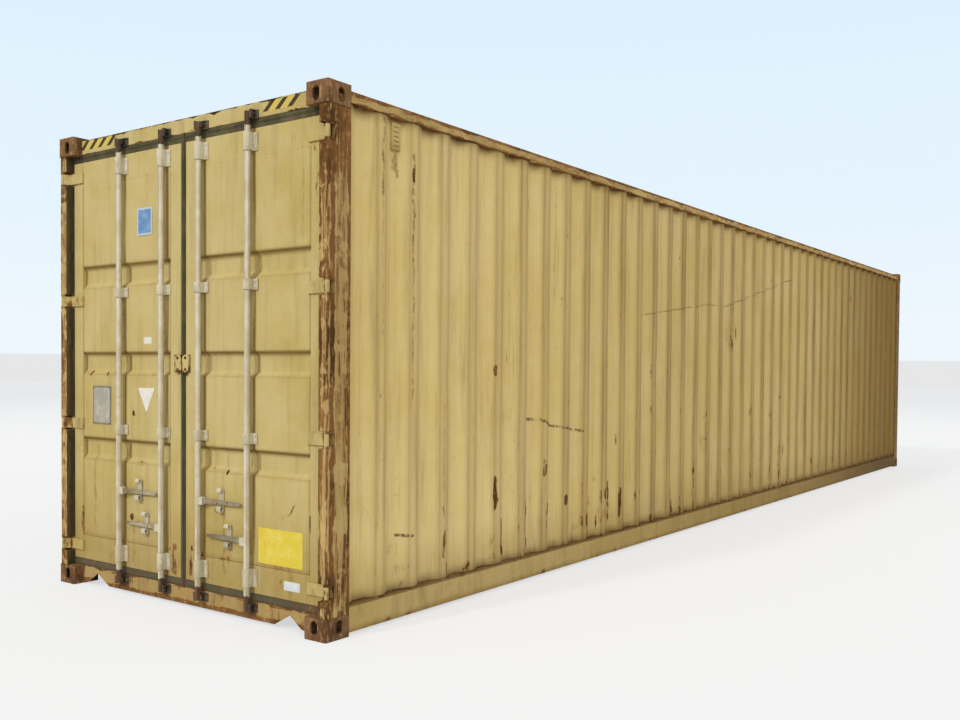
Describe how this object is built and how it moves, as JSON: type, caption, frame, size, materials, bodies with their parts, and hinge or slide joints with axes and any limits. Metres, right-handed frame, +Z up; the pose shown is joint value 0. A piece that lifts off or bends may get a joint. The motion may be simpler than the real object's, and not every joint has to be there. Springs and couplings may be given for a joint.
{
  "type": "shipping container",
  "caption": "Long high steel shipping container with corrugated walls, ribbed roof and double end doors that lock with turning bars, worn ochre paint and rust.",
  "frame": {"origin": "on the ground, below the middle of the box", "axes": "+X along the box, away from the door end; +Y towards the left door as seen from outside the door end; +Z up"},
  "size_m": [12.192, 2.438, 2.896],
  "materials": {
    "ochre_paint": "faded, chalky",
    "rusted_steel": "heavily rusted paint",
    "bar_paint": "satin",
    "dark_steel": "dull, weathered",
    "seal_rubber": "matt",
    "floor_wood": "worn plywood"
  },
  "bodies": {
    "container": {"rear_bottom_castings": "rusted_steel", "rear_top_castings": "rusted_steel", "front_bottom_castings": "ochre_paint", "front_top_castings": "ochre_paint", "rear_post_left": "rusted_steel", "front_post_left": "ochre_paint", "hinge_lugs_left": "rusted_steel", "top_rail_left": "rusted_steel", "bottom_rail_left": "ochre_paint", "side_wall_left": "ochre_paint", "rear_post_right": "rusted_steel", "front_post_right": "ochre_paint", "hinge_lugs_right": "rusted_steel", "top_rail_right": "rusted_steel", "bottom_rail_right": "ochre_paint", "side_wall_right": "ochre_paint", "door_header": "ochre_paint", "door_sill": "ochre_paint", "front_sill": "ochre_paint", "front_top_rail": "ochre_paint", "front_wall": "ochre_paint", "roof": "ochre_paint", "side_vent": "ochre_paint", "bottom_keepers": "dark_steel", "top_keepers": "dark_steel", "floor": "floor_wood", "cross_members": "dark_steel", "gooseneck_tunnel": "dark_steel", "outriggers": "dark_steel"},
    "left_door": {"door_stiles_left": "ochre_paint", "door_rails_left": "ochre_paint", "door_panel_left": "ochre_paint", "door_seal_left": "seal_rubber", "hinge_blades_left": "ochre_paint", "bar_guides_left": "ochre_paint", "handle_catches_left": "ochre_paint", "lock_plate_left": "ochre_paint"},
    "bar_1": {"locking_bar_1": "bar_paint"},
    "handle_1": {"lock_handle_1": "dark_steel"},
    "bar_2": {"locking_bar_2": "bar_paint"},
    "handle_2": {"lock_handle_2": "dark_steel"},
    "right_door": {"door_stiles_right": "ochre_paint", "door_rails_right": "ochre_paint", "door_panel_right": "ochre_paint", "door_seal_right": "seal_rubber", "hinge_blades_right": "ochre_paint", "bar_guides_right": "ochre_paint", "handle_catches_right": "ochre_paint", "lock_plate_right": "ochre_paint"},
    "bar_3": {"locking_bar_3": "bar_paint"},
    "handle_3": {"lock_handle_3": "dark_steel"},
    "bar_4": {"locking_bar_4": "bar_paint"},
    "handle_4": {"lock_handle_4": "dark_steel"}
  },
  "joints": [
    {"name": "left_door_hinge", "type": "hinge", "parent": "container", "child": "left_door", "pos_m": [-6.078, 1.201, 1.45], "axis": [0, 0, -1], "range_deg": [0, 267]},
    {"name": "right_door_hinge", "type": "hinge", "parent": "container", "child": "right_door", "pos_m": [-6.078, -1.201, 1.45], "axis": [0, 0, 1], "range_deg": [0, 267]},
    {"name": "bar_1_turn", "type": "hinge", "parent": "left_door", "child": "bar_1", "pos_m": [-6.068, 0.607, 0.65], "axis": [0, 0, 1], "range_deg": [-120, 0]},
    {"name": "handle_1_lift", "type": "hinge", "parent": "bar_1", "child": "handle_1", "pos_m": [-6.068, 0.573, 0.65], "axis": [-1, 0, 0], "range_deg": [0, 16]},
    {"name": "bar_2_turn", "type": "hinge", "parent": "left_door", "child": "bar_2", "pos_m": [-6.068, 0.186, 0.452], "axis": [0, 0, -1], "range_deg": [-120, 0]},
    {"name": "handle_2_lift", "type": "hinge", "parent": "bar_2", "child": "handle_2", "pos_m": [-6.068, 0.22, 0.452], "axis": [1, 0, 0], "range_deg": [0, 16]},
    {"name": "bar_3_turn", "type": "hinge", "parent": "right_door", "child": "bar_3", "pos_m": [-6.068, -0.158, 0.65], "axis": [0, 0, 1], "range_deg": [-120, 0]},
    {"name": "handle_3_lift", "type": "hinge", "parent": "bar_3", "child": "handle_3", "pos_m": [-6.068, -0.192, 0.65], "axis": [-1, 0, 0], "range_deg": [0, 16]},
    {"name": "bar_4_turn", "type": "hinge", "parent": "right_door", "child": "bar_4", "pos_m": [-6.068, -0.579, 0.452], "axis": [0, 0, -1], "range_deg": [-120, 0]},
    {"name": "handle_4_lift", "type": "hinge", "parent": "bar_4", "child": "handle_4", "pos_m": [-6.068, -0.545, 0.452], "axis": [1, 0, 0], "range_deg": [0, 16]}
  ]
}
